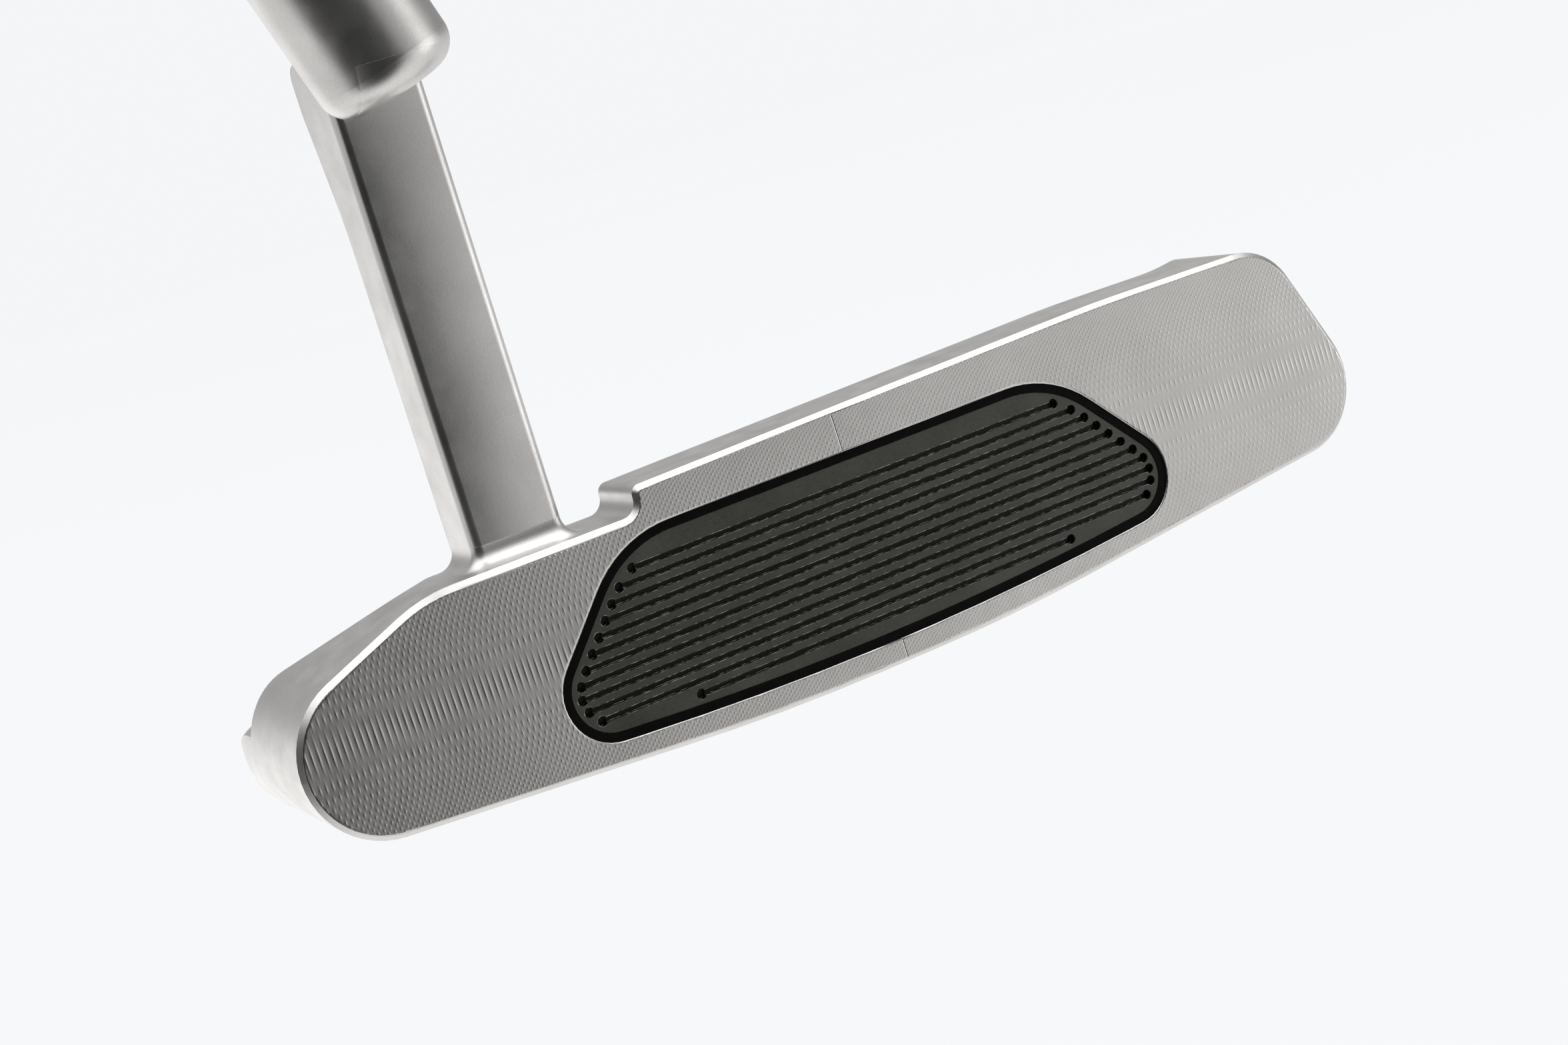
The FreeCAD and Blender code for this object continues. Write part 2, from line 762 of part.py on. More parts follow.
def build_grip_core():
    body = new_body("grip_core")
    loft(body, "AdditiveLoft", "core_form", grip_sections(size("grip_skin")))
    radius = size("shaft_butt_diameter") / 2 + size("tape_thickness")
    circle = Part.Circle(vector(0, 0), vector(0, 0, 1), radius)
    bore = new_sketch(body, "core_bore_outline", "XY_Plane", [circle])
    new_pocket(body, "core_bore", bore, cell("putter_length"), flipped=True)
    body.Placement = along_shaft(0)
    return body


def build_grip_skin():
    body = new_body("grip_skin")
    loft(body, "AdditiveLoft", "skin_form", grip_sections(0.0))
    before = body.Shape.Volume
    loft(body, "SubtractiveLoft", "skin_hollow", grip_sections(size("grip_skin")))
    if not body.Shape.Volume < before - 1.0:
        raise RuntimeError("skin_hollow cuts nothing")
    body.Placement = along_shaft(0)
    return body


def build_grip_collar():
    """The soft collar that closes the grip's lower end round the shaft."""
    body = new_body("grip_collar")
    start = grip_start() - size("collar_length")
    place = FreeCAD.Placement(vector(0, 0, start), FreeCAD.Rotation())
    outline = grip_outline(size("grip_low_half"), size("grip_flat_low"), 0.0)
    new_pad(body, "collar", new_sketch(body, "collar_outline", "XY_Plane", outline, place),
            cell("collar_length"))
    new_fillet(body, "collar_edge", lambda edge: edge.BoundBox.ZMax < start + 1e-3, cell("collar_radius"))
    circle = Part.Circle(vector(0, 0), vector(0, 0, 1), size("shaft_butt_diameter") / 2)
    bore = new_sketch(body, "collar_bore_outline", "XY_Plane", [circle])
    new_pocket(body, "collar_bore", bore, cell("putter_length"), flipped=True)
    body.Placement = along_shaft(0)
    return body


def build_grip_cap():
    """The butt cap: a plate over the grip's end, a plug inside the shaft and a vent hole."""
    body = new_body("grip_end_cap")
    end = shaft_end()
    place = FreeCAD.Placement(vector(0, 0, end), FreeCAD.Rotation())
    outline = grip_outline(size("grip_high_half"), size("grip_flat_high"), 0.0)
    new_pad(body, "cap", new_sketch(body, "cap_outline", "XY_Plane", outline, place), cell("cap_thickness"))
    top = size("putter_length")
    new_fillet(body, "cap_edge", lambda edge: edge.BoundBox.ZMin > top - 1e-3, cell("collar_radius"))
    plug = Part.Circle(vector(0, 0), vector(0, 0, 1), size("shaft_butt_diameter") / 2 - size("shaft_wall"))
    new_pad(body, "cap_plug", new_sketch(body, "cap_plug_outline", "XY_Plane", [plug], place),
            cell("cap_lip_depth"), inward=True)
    vent = Part.Circle(vector(0, 0), vector(0, 0, 1), size("cap_vent_diameter") / 2)
    new_pocket(body, "cap_vent", new_sketch(body, "cap_vent_outline", "XY_Plane", [vent]),
               f"2 * {cell('putter_length')}", flipped=True)
    body.Placement = along_shaft(0)
    return body


def check_document():
    """Stops the build if any object failed to recompute."""
    for item in doc.Objects:
        if "Invalid" in item.State or "Error" in item.State:
            raise RuntimeError(f"{item.Label} is {item.State}")


def export(bodies):
    os.makedirs("parts", exist_ok=True)
    for body in bodies:
        shape = body.Shape
        if shape.isNull() or not shape.isValid():
            raise RuntimeError(f"{body.Label} has no valid shape")
        print(f"{body.Label}: {shape.Volume:.0f} cubic mm, {len(shape.Solids)} solid")
        shape.exportStep(f"parts/{body.Label}.step")


parts = [
    build_head(),
    build_insert_bond(),
    build_insert_bed(),
    build_face_insert(),
    build_sight_line(),
    build_shaft(),
    build_tip_plug(),
    build_epoxy(),
    build_band(),
    build_grip_tape(),
    build_grip_core(),
    build_grip_skin(),
    build_grip_collar(),
    build_grip_cap(),
]
parts += [build_weight(name, place) for name, place in weight_places()]
doc.recompute()
check_document()
export(parts)
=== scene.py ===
# Looks of the blade putter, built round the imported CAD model. Metres, +Z up, face towards -Y, toe towards +X.
import bmesh
import bpy
import math
import numpy as np
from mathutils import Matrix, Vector
from mathutils.geometry import delaunay_2d_cdt


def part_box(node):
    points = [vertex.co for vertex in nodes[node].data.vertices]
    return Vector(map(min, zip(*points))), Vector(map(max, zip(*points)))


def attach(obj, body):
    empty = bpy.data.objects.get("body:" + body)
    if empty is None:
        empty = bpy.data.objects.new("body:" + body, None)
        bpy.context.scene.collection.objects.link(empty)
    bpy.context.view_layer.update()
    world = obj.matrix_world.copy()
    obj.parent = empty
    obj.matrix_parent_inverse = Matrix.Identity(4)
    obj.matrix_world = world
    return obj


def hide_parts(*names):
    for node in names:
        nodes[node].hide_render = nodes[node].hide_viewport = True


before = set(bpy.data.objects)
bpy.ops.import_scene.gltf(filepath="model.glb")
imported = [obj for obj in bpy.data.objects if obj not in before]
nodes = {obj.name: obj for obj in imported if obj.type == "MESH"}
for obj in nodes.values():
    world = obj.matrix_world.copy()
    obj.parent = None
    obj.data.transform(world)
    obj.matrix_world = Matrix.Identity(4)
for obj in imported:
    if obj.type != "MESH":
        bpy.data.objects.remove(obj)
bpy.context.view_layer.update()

MM = 0.001
WELD = 0.001 * MM                            # points nearer than this are one
CORNER_DIGITS = 7                            # of a metre, to which the face's corners are matched
FILL_TOLERANCE = 1e-9
FACE_SLOPE = math.tan(math.radians(3.0))     # the face leans back by its loft
FACE_NORMAL = Vector((0.0, -1.0, FACE_SLOPE)).normalized()
ON_FACE = 0.002 * MM                         # how near the lofted plane a point of the flat face lies

# milling marks on the face: two crossing families of circular cusps
MARK_PITCH = 0.575 * MM
MARK_RADIUS = 13.8 * MM
MARK_CENTRE = 12.55 * MM                     # height at which the two families run together
MARK_DEPTH = 0.013 * MM
CUSP_SHARPNESS = 4.0                         # of the marks in the mesh
CUSP_POINT = 2.1                             # of the finer marks in the shading
FACE_REACH = 60.0 * MM                       # past the blade's ends on both sides
STEPS_PER_MARK = 6
ROWS_PER_CROSSING = 3.6
LEAST_RISE = 3.0 * MM
TALLEST_ROW = 0.25 * MM

# the thin slab that carries the marks, measured from the flat face
SKIN_LIFT = 0.030 * MM
SKIN_RIM_LIFT = 0.002 * MM
SKIN_SINK = 0.05 * MM

# the neck's front, which is slightly crowned from side to side
NECK_MIDDLE = -31.68 * MM
NECK_FRONT = 3.5 * MM
NECK_FRONT_DEPTH = 0.5 * MM
NECK_FOOT = 24.0 * MM
NECK_TOP = 66.0 * MM
NECK_CROWN_HALF = 4.4                        # in mm
NECK_CROWN_RADIUS = 40.0                     # in mm

# painted shade in the insert's grooves: how far behind the face it begins on their floors and where it is full,
# in mm
GROOVE_PAINTED_SHADE_START = 0.24
GROOVE_PAINTED_SHADE_END = 0.50
INSERT_EDGE = 0.04 * MM                      # width of the bevel that carries the painted highlight
INSERT_FLAT = math.radians(0.5)              # faces that meet at less are one flat
INSERT_SHARP = math.radians(50.0)            # edges that turn by more are bevelled and carry the painted highlight

# rings pressed round the grip, measured along the shaft's axis from the ground
LEAN = math.radians(18.0)                    # of the shaft, from upright towards the heel
SHAFT_FOOT = Vector((-10.65, -1.1, 0.0)) * MM
SHAFT_AXIS = Vector((-math.sin(LEAN), 0.0, math.cos(LEAN)))
RING_START = 603.0 * MM
RING_PITCH = 4.5 * MM
RING_COUNT = 55
RING_WIDTH = 1.3 * MM
RING_DEPTH = 0.3 * MM
RING_SHARP = math.radians(35.0)              # edges that turn by more stay crisp
RING_EDGES = (-0.5, -0.25, 0.25, 0.5)        # as shares of the width: the rim and floor on each side
RING_FLOOR = 0.3                             # points nearer the middle than this share are pressed in


# ---- node materials ----

class Graph:
    """A material's nodes, made in short calls. Its textures read the object's own coordinates, in metres."""

    def __init__(self, name):
        self.material = bpy.data.materials.new(name)
        self.material.use_nodes = True
        self.tree = self.material.node_tree
        self.shader = self.tree.nodes["Principled BSDF"]
        self.place = self.add("ShaderNodeTexCoord").outputs["Object"]

    def add(self, kind, **settings):
        node = self.tree.nodes.new(kind)
        for key, value in settings.items():
            setattr(node, key, value)
        return node

    def link(self, output, socket):
        self.tree.links.new(output, socket)

    def feed(self, socket, value):
        """Gives a socket either a link or a plain number."""
        if isinstance(value, bpy.types.NodeSocket):
            self.link(value, socket)
        else:
            socket.default_value = value

    def math(self, operation, first, second=0.0, third=0.0):
        """One arithmetic step on sockets or plain numbers."""
        node = self.add("ShaderNodeMath", operation=operation)
        for socket, value in zip(node.inputs, (first, second, third)):
            self.feed(socket, value)
        return node.outputs[0]

    def split(self, vector):
        """The x, y and z of a vector."""
        node = self.add("ShaderNodeSeparateXYZ")
        self.link(vector, node.inputs[0])
        return node.outputs

    def stretched(self, scale):
        """The object's coordinates, stretched by a scale on each axis."""
        node = self.add("ShaderNodeMapping")
        self.link(self.place, node.inputs["Vector"])
        node.inputs["Scale"].default_value = scale
        return node.outputs[0]

    def noise(self, size_mm, detail=3.0, scale=(1, 1, 1), distortion=0.0):
        """Noise whose grains are about size_mm across."""
        node = self.add("ShaderNodeTexNoise")
        self.link(self.stretched(scale), node.inputs["Vector"])
        node.inputs["Scale"].default_value = 1.0 / (size_mm * MM)
        node.inputs["Detail"].default_value = detail
        node.inputs["Distortion"].default_value = distortion
        return node.outputs["Fac"]

    def spots(self, size_mm, radius):
        """1 inside scattered round spots, 0 elsewhere."""
        node = self.add("ShaderNodeTexVoronoi")
        self.link(self.place, node.inputs["Vector"])
        node.inputs["Scale"].default_value = 1.0 / (size_mm * MM)
        return self.ramp(node.outputs["Distance"], [(radius * 0.6, 1.0), (radius, 0.0)])

    def ramp(self, value, stops):
        """A colour or grey ramp; each stop is (position, grey) or (position, (r, g, b))."""
        node = self.add("ShaderNodeValToRGB")
        self.link(value, node.inputs[0])
        ramp = node.color_ramp
        while len(ramp.elements) < len(stops):
            ramp.elements.new(0.5)
        for element, (position, shade) in zip(ramp.elements, stops):
            element.position = position
            rgb = shade if isinstance(shade, tuple) else (shade, shade, shade)
            element.color = (*rgb, 1.0)
        return node.outputs[0]

    def blend(self, amount, first, second):
        """From the first colour to the second as the amount goes from 0 to 1."""
        node = self.add("ShaderNodeMix", data_type="RGBA")
        self.feed(node.inputs["Factor"], amount)
        for socket, value in ((node.inputs[6], first), (node.inputs[7], second)):
            if isinstance(value, tuple):
                value = (*value, 1.0)
            self.feed(socket, value)
        return node.outputs[2]

    def bump(self, height, distance_mm, strength=1.0, after=None):
        """A surface normal tilted by a height, on top of an earlier bump where one is given."""
        node = self.add("ShaderNodeBump")
        self.feed(node.inputs["Height"], height)
        node.inputs["Distance"].default_value = distance_mm * MM
        node.inputs["Strength"].default_value = strength
        if after is not None:
            self.link(after, node.inputs["Normal"])
        return node.outputs[0]

    def finish(self, colour, roughness, normal, metallic=0.0):
        """Joins the last results to the shader and gives the material."""
        self.feed(self.shader.inputs["Base Color"], colour)
        self.feed(self.shader.inputs["Roughness"], roughness)
        self.feed(self.shader.inputs["Normal"], normal)
        self.shader.inputs["Metallic"].default_value = metallic
        return self.material


def steel_colour(graph, dark, light):
    """Satin steel, slightly uneven over centimetres and grained over tenths of a millimetre."""
    cloud = graph.noise(9.0, 2.0)
    grain = graph.noise(0.16, 3.0)
    mixed = graph.math("MULTIPLY_ADD", grain, 0.45, graph.math("MULTIPLY", cloud, 0.55))
    return graph.ramp(mixed, [(0.36, dark), (0.64, light)])


def satin_steel(name, dark=(0.495, 0.490, 0.482), light=(0.585, 0.580, 0.572), crowned=False):
    """Bead-blasted stainless steel, with tiny dark nicks."""
    graph = Graph(name)
    base = steel_colour(graph, dark, light)
    nicks = graph.spots(6.0, 0.014)
    colour = graph.blend(graph.math("MULTIPLY", nicks, 0.7), base, (0.20, 0.195, 0.19))
    rough = graph.ramp(graph.noise(2.5, 4.0), [(0.3, 0.30), (0.7, 0.38)])
    grain = graph.bump(graph.noise(0.12, 4.0), 0.010, 0.55)
    waves = graph.bump(graph.noise(3.0, 2.0), 0.020, 0.35, grain)
    if crowned:
        waves = graph.bump(neck_crown(graph), 1.0, 1.0, waves)
    return graph.finish(colour, rough, waves, 1.0)


def neck_crown(graph):
    """How far the front of the neck falls away from its middle line, in mm; 0 elsewhere on the head."""
    x, y, z = graph.split(graph.place)
    aside = graph.math("DIVIDE", graph.math("SUBTRACT", x, NECK_MIDDLE), MM)
    fall = graph.math("DIVIDE", graph.math("MULTIPLY", aside, aside), -2 * NECK_CROWN_RADIUS)
    forward = graph.math("LESS_THAN", y, NECK_FRONT + NECK_FRONT_DEPTH)
    raised = graph.math("GREATER_THAN", z, NECK_FOOT)
    below = graph.math("LESS_THAN", z, NECK_TOP)
    within = graph.math("LESS_THAN", graph.math("ABSOLUTE", aside), NECK_CROWN_HALF)
    for limit in (forward, raised, below, within):
        fall = graph.math("MULTIPLY", fall, limit)
    return fall


def cutter_cusps(graph):
    """The ridges that the face cutter leaves between its passes, 1 at a ridge and 0 between them."""
    x, _, z = graph.split(graph.place)
    rise = graph.math("SUBTRACT", z, MARK_CENTRE)
    reach = graph.math("SQRT", graph.math("SUBTRACT", MARK_RADIUS ** 2, graph.math("MULTIPLY", rise, rise)))
    heights = []
    for side in (1.0, -1.0):
        across = graph.math("MULTIPLY_ADD", reach, side, x)
        turn = graph.math("MULTIPLY", across, 2 * math.pi / MARK_PITCH)
        wave = graph.math("COSINE", graph.math("MULTIPLY", turn, 0.5))
        heights.append(graph.math("ABSOLUTE", wave))
    trough = graph.math("MAXIMUM", heights[0], heights[1])
    return graph.math("POWER", graph.math("SUBTRACT", 1.0, trough), CUSP_POINT)


def milled_steel():
    """The face's steel: brighter and sharper than the blasted sides, with tool scratches along the arcs."""
    graph = Graph("milled_steel")
    base = steel_colour(graph, (0.485, 0.480, 0.470), (0.545, 0.540, 0.530))
    rough = graph.ramp(graph.noise(1.5, 4.0), [(0.3, 0.25), (0.7, 0.33)])
    marks = graph.bump(cutter_cusps(graph), 0.02, 0.5)
    scratches = graph.bump(graph.noise(0.10, 4.0, (1, 1, 0.15)), 0.004, 0.6, marks)
    return graph.finish(base, rough, scratches, 1.0)


def charcoal_metal():
    """The insert's dark, slightly green anodised face, finely brushed along the grooves, with painted shade
    darkening the groove floors.
    """
    graph = Graph("charcoal_anodised")
    brush = graph.noise(0.14, 5.0, (0.35, 1, 1))
    cloud = graph.noise(6.0, 3.0)
    mixed = graph.math("MULTIPLY_ADD", brush, 0.5, graph.math("MULTIPLY", cloud, 0.5))
    base = graph.ramp(mixed, [(0.35, (0.054, 0.055, 0.048)), (0.65, (0.083, 0.084, 0.074))])
    specks = graph.spots(0.9, 0.06)
    land = graph.blend(graph.math("MULTIPLY", specks, 0.35), base, (0.35, 0.35, 0.33))
    _, y, z = graph.split(graph.place)
    depth = graph.math("DIVIDE", graph.math("MULTIPLY_ADD", z, -FACE_SLOPE, y), MM)
    # painted shade: the colour turns near-black with depth behind the face, on the grooves' floors
    painted_groove_shade = graph.ramp(depth, [(GROOVE_PAINTED_SHADE_START, 0.0), (GROOVE_PAINTED_SHADE_END, 1.0)])
    colour = graph.blend(painted_groove_shade, land, (0.016, 0.016, 0.015))
    rough = graph.ramp(brush, [(0.3, 0.38), (0.7, 0.50)])
    grain = graph.bump(graph.noise(0.09, 4.0), 0.008, 0.7)
    return graph.finish(colour, rough, grain, 0.85)


def painted_edge_highlight():
    """A painted highlight along the bevelled groove edges: a bright line, broken up along its length."""
    graph = Graph("groove_edge_painted_highlight")
    patches = graph.noise(0.35, 4.0, (0.6, 1, 1))
    # painted highlight: near-white patches on the dark base, standing in for light caught by the edges
    colour = graph.ramp(patches, [(0.46, (0.05, 0.051, 0.046)), (0.64, (0.40, 0.40, 0.375))])
    rough = graph.ramp(patches, [(0.4, 0.45), (0.6, 0.25)])
    grain = graph.bump(graph.noise(0.08, 3.0), 0.004, 0.5)
    return graph.finish(colour, rough, grain, 0.9)


def black_rubber(name, shade, gloss=0.5):
    """Moulded black rubber, slightly cloudy and grained."""
    graph = Graph(name)
    graph.shader.inputs["Specular IOR Level"].default_value = gloss
    colour = graph.ramp(graph.noise(1.2, 4.0), [(0.3, shade * 0.7), (0.7, shade * 1.5)])
    rough = graph.ramp(graph.noise(0.5, 3.0), [(0.3, 0.42), (0.7, 0.58)])
    grain = graph.bump(graph.noise(0.15, 3.0), 0.01, 0.5)
    return graph.finish(colour, rough, grain)


def adhesive(name, tint):
    """Cured adhesive or filler: slightly cloudy."""
    graph = Graph(name)
    low = tuple(0.75 * part for part in tint)
    colour = graph.ramp(graph.noise(1.0, 3.0), [(0.3, low), (0.7, tint)])
    rough = graph.ramp(graph.noise(0.6, 2.0), [(0.3, 0.35), (0.7, 0.55)])
    return graph.finish(colour, rough, graph.bump(graph.noise(0.3, 3.0), 0.02, 0.4))


def chrome():
    """Plated steel tube: nearly mirror-bright, with faint draw lines and finger haze."""
    graph = Graph("shaft_chrome")
    haze = graph.noise(14.0, 4.0)
    colour = graph.ramp(haze, [(0.3, (0.66, 0.67, 0.69)), (0.7, (0.74, 0.75, 0.77))])
    rough = graph.ramp(haze, [(0.35, 0.05), (0.7, 0.13)])
    lines = graph.noise(0.5, 3.0, (1, 1, 0.04))
    return graph.finish(colour, rough, graph.bump(lines, 0.003, 0.35), 1.0)


def vinyl():
    """The plain band on the shaft: dark satin film with a pale stripe at each end."""
    graph = Graph("band_vinyl")
    low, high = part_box("shaft_band")
    height = graph.split(graph.place)[2]
    share = graph.math("DIVIDE", graph.math("SUBTRACT", height, low.z), high.z - low.z)
    pale, dark = (0.62, 0.62, 0.60), (0.045, 0.047, 0.05)
    stripes = graph.ramp(share, [(0.22, dark), (0.24, pale), (0.30, pale), (0.32, dark),
                                 (0.68, dark), (0.70, pale), (0.76, pale), (0.78, dark)])
    colour = graph.blend(graph.math("MULTIPLY", graph.noise(0.8, 3.0), 0.25), stripes, (0.02, 0.02, 0.02))
    rough = graph.ramp(graph.noise(0.7, 3.0), [(0.3, 0.28), (0.7, 0.42)])
    return graph.finish(colour, rough, graph.bump(graph.noise(0.25, 3.0), 0.006, 0.4))


def masking_tape():
    """The paper tape under the grip, creped across its length, with painted shade in the crepe's folds."""
    graph = Graph("grip_tape_paper")
    crepe = graph.noise(0.5, 4.0, (0.3, 0.3, 1))
    # painted shade: darker in the crepe's folds and lighter on its ridges, following the bump's height
    colour = graph.ramp(crepe, [(0.3, (0.48, 0.42, 0.30)), (0.7, (0.62, 0.56, 0.42))])
    rough = graph.ramp(crepe, [(0.3, 0.7), (0.7, 0.85)])
    return graph.finish(colour, rough, graph.bump(crepe, 0.05, 0.7))


def paint():
    """Enamel fill of the sight line."""
    graph = Graph("sight_line_enamel")
    colour = graph.ramp(graph.noise(0.9, 3.0), [(0.3, (0.010, 0.010, 0.011)), (0.7, (0.022, 0.022, 0.024))])
    rough = graph.ramp(graph.noise(0.5, 3.0), [(0.3, 0.22), (0.7, 0.34)])
    return graph.finish(colour, rough, graph.bump(graph.noise(0.4, 2.0), 0.02, 0.4))


def grip_polymer():
    """The grip's tacky skin: a fine leather-like emboss over a soft black ground, with painted shade in the
    hollows between the embossed cells.
    """
    graph = Graph("grip_polymer")
    cells = graph.add("ShaderNodeTexVoronoi")
    graph.link(graph.place, cells.inputs["Vector"])
    cells.inputs["Scale"].default_value = 1.0 / (1.1 * MM)
    emboss = graph.ramp(cells.outputs["Distance"], [(0.25, 1.0), (0.62, 0.0)])
    # painted shade: darker where the emboss is low, between the cells, and lighter on the raised cells
    colour = graph.blend(emboss, (0.012, 0.012, 0.013), (0.030, 0.030, 0.032))
    rough = graph.ramp(graph.noise(0.8, 4.0), [(0.3, 0.50), (0.7, 0.68)])
    fine = graph.bump(graph.noise(0.2, 3.0), 0.02, 0.5)
    return graph.finish(colour, rough, graph.bump(emboss, 0.12, 0.8, fine))


def place_in_scene(name, data):
    """A new object in the scene that shows a mesh, a light or a camera."""
    thing = bpy.data.objects.new(name, data)
    bpy.context.scene.collection.objects.link(thing)
    return thing


# ---- the milled face ----

def face_loops(head):
    """Closed outlines of the flat face, read from the head's own mesh, as lists of (x, z) in metres."""
    mesh = head.data
    flat = []
    for polygon in mesh.polygons:
        points = [mesh.vertices[index].co for index in polygon.vertices]
        if all(abs(point.y - point.z * FACE_SLOPE) < ON_FACE for point in points):
            flat.append([(round(point.x, CORNER_DIGITS), round(point.z, CORNER_DIGITS)) for point in points])
    sides = {}
    for corners in flat:
        for start, end in zip(corners, corners[1:] + corners[:1]):
            sides[(start, end)] = True
    rim = {start: end for start, end in sides if (end, start) not in sides}
    loops = []
    while rim:
        start, here = rim.popitem()
        loop = [start]
        while here != start:
            loop.append(here)
            here = rim.pop(here)
        loops.append(loop)
    return loops


def crossings(loops, z):
    """Sorted x values at which a level line crosses the outlines."""
    found = []
    for loop in loops:
        for (x0, z0), (x1, z1) in zip(loop, loop[1:] + loop[:1]):
            if (z0 > z) != (z1 > z):
                found.append(x0 + (x1 - x0) * (z - z0) / (z1 - z0))
    return np.sort(np.array(found))


def inside(loops, xs, z):
    """Which of the xs on one level lie on the face and clear of the insert."""
    return np.searchsorted(crossings(loops, z), xs) % 2 == 1


def level_lines(low, high):
    """Heights of the grid's rows, closer together where the milling marks cross more steeply."""
    levels = [low]
    z = low
    while z < high:
        rise = max(abs(z - MARK_CENTRE), LEAST_RISE)
        z += min(MARK_PITCH * MARK_RADIUS / (2 * rise) / ROWS_PER_CROSSING, TALLEST_ROW)
        levels.append(z)
    return np.array(levels)


def mark_height(x, z):
    """How far the milled surface stands above its lowest level: cusps of one cutter pass cut by the other."""
    reach = math.sqrt(MARK_RADIUS ** 2 - (z - MARK_CENTRE) ** 2)
    passes = []
    for side in (1.0, -1.0):
        share = (x + side * reach) / MARK_PITCH
        passes.append(abs(2.0 * (share - round(share))) ** CUSP_SHARPNESS)
    return min(passes)


def face_point(x, z, lift):
    """A point lift metres in front of the lofted face."""
    return Vector((x, z * FACE_SLOPE, z)) + FACE_NORMAL * lift


def middle_of(points, face):
    """The middle of a face whose corners are numbers of points."""
    return sum((points[index] for index in face), Vector((0, 0))) / len(face)


def fill(points, edges, loops, x_low, x_high):
    """Triangles between fixed edges, kept where they lie on the face and between two x values.

    Gives the triangles' points, the triangles, and which of the given points each point is."""
    corners = [Vector(point) for point in points]
    out_points, _, faces, origins, _, _ = delaunay_2d_cdt(corners, edges, [], 0, FILL_TOLERANCE)
    kept = []
    for face in faces:
        x, z = middle_of(out_points, face)
        if x_low < x < x_high and inside(loops, np.array([x]), z)[0]:
            kept.append(tuple(face))
    return out_points, kept, [min(given) if given else len(points) for given in origins]


def loop_edges(loops, start):
    """The edges round each outline, whose points are numbered in order from start."""
    edges = []
    for loop in loops:
        count = len(loop)
        edges += [(start + k, start + (k + 1) % count) for k in range(count)]
        start += count
    return edges


def rim_edges(faces):
    """Edges used by one face only, in that face's direction."""
    directed = set()
    for face in faces:
        for start, end in zip(face, face[1:] + face[:1]):
            directed.add((start, end))
    return [(start, end) for start, end in directed if (end, start) not in directed]


class MilledSkin:
    """A closed thin slab over one half of the face, with the milling marks in its front."""

    def __init__(self, loops, x_low, x_high):
        self.loops = loops
        self.x_low = x_low
        self.x_high = x_high
        self.corners = [corner for loop in loops for corner in loop]
        heights = [z for _, z in self.corners]
        self.z_low = min(heights)
        self.z_high = max(heights)
        self.step = MARK_PITCH / STEPS_PER_MARK
        self.columns = np.arange(x_low, x_high + self.step / 2, self.step)
        self.rows = level_lines(self.z_low, self.z_high)
        self.cells = self.whole_cells()
        self.points = []
        self.lifts = []
        self.faces = []

    def whole_cells(self):
        """Which cells of the grid lie on the face, with a row to spare above and below."""
        on_face = np.array([inside(self.loops, self.columns, z) for z in self.rows])
        clear = on_face.copy()
        clear[1:] &= on_face[:-1]
        clear[:-1] &= on_face[1:]
        return clear[:-1, :-1] & clear[1:, :-1] & clear[:-1, 1:] & clear[1:, 1:]

    def in_whole_cell(self, x, z):
        """Whether a place lies in a cell that the grid already covers."""
        column = int((x - self.x_low) / self.step)
        row = int(np.searchsorted(self.rows, z)) - 1
        row_count, column_count = self.cells.shape
        return 0 <= row < row_count and 0 <= column < column_count and self.cells[row, column]

    def add_point(self, point, lift):
        self.points.append(point)
        self.lifts.append(lift)
        return len(self.points) - 1

    def add_marks(self):
        """The grid of quads that carries the milling marks."""
        numbers = {}
        for row, column in zip(*np.nonzero(self.cells)):
            quad = []
            for at in ((row, column), (row, column + 1), (row + 1, column + 1), (row + 1, column)):
                if at not in numbers:
                    x = float(self.columns[at[1]])
                    z = float(self.rows[at[0]])
                    numbers[at] = self.add_point((x, z), SKIN_LIFT + MARK_DEPTH * mark_height(x, z))
                quad.append(numbers[at])
            self.faces.append(tuple(quad))

    def add_border(self):
        """Triangles from the grid's stepped edge out to the outlines and to the seam between the halves."""
        grid_edges = rim_edges(self.faces)
        order = sorted({index for edge in grid_edges for index in edge})
        local = {index: k for k, index in enumerate(order)}
        seam = [(x, z) for x in (self.x_low, self.x_high) for z in (self.z_low - MM, self.z_high + MM)]
        flat = [self.points[index] for index in order] + self.corners + seam
        first_corner = len(order)
        first_seam = first_corner + len(self.corners)
        edges = [(local[start], local[end]) for start, end in grid_edges]
        edges += loop_edges(self.loops, first_corner)
        edges += [(first_seam, first_seam + 1), (first_seam + 2, first_seam + 3)]
        filled, triangles, given = fill(flat, edges, self.loops, self.x_low, self.x_high)
        numbers = {}
        for index in {index for face in triangles for index in face}:
            if given[index] < first_corner:
                numbers[index] = order[given[index]]
            else:
                numbers[index] = self.add_point(tuple(filled[index]), SKIN_RIM_LIFT)
        for face in triangles:
            if not self.in_whole_cell(*middle_of(filled, face)):
                self.faces.append(tuple(numbers[index] for index in face))

    def add_back(self):
        """A flat back, sunk into the head, and the walls between it and the front's rim."""
        rim = rim_edges(self.faces)
        border = sorted({index for edge in rim for index in edge})
        local = {index: k for k, index in enumerate(border)}
        flat = [self.points[index] for index in border]
        edges = [(local[start], local[end]) for start, end in rim]
        _, triangles, given = fill(flat, edges, self.loops, self.x_low, self.x_high)
        if sorted(given) != list(range(len(flat))):
            raise RuntimeError("the milled skin's back doesn't meet its rim")
        under = [self.add_point(point, -SKIN_SINK) for point in flat]
        for start, end in rim:
            self.faces.append((end, start, under[local[start]], under[local[end]]))
        for face in triangles:
            self.faces.append(tuple(under[given[index]] for index in reversed(face)))

    def mesh(self, name):
        self.add_marks()
        self.add_border()
        self.add_back()
        surface = [face_point(x, z, lift) for (x, z), lift in zip(self.points, self.lifts)]
        mesh = bpy.data.meshes.new(name)
        mesh.from_pydata(surface, [], self.faces)
        mesh.validate()
        mesh.shade_smooth()
        return mesh


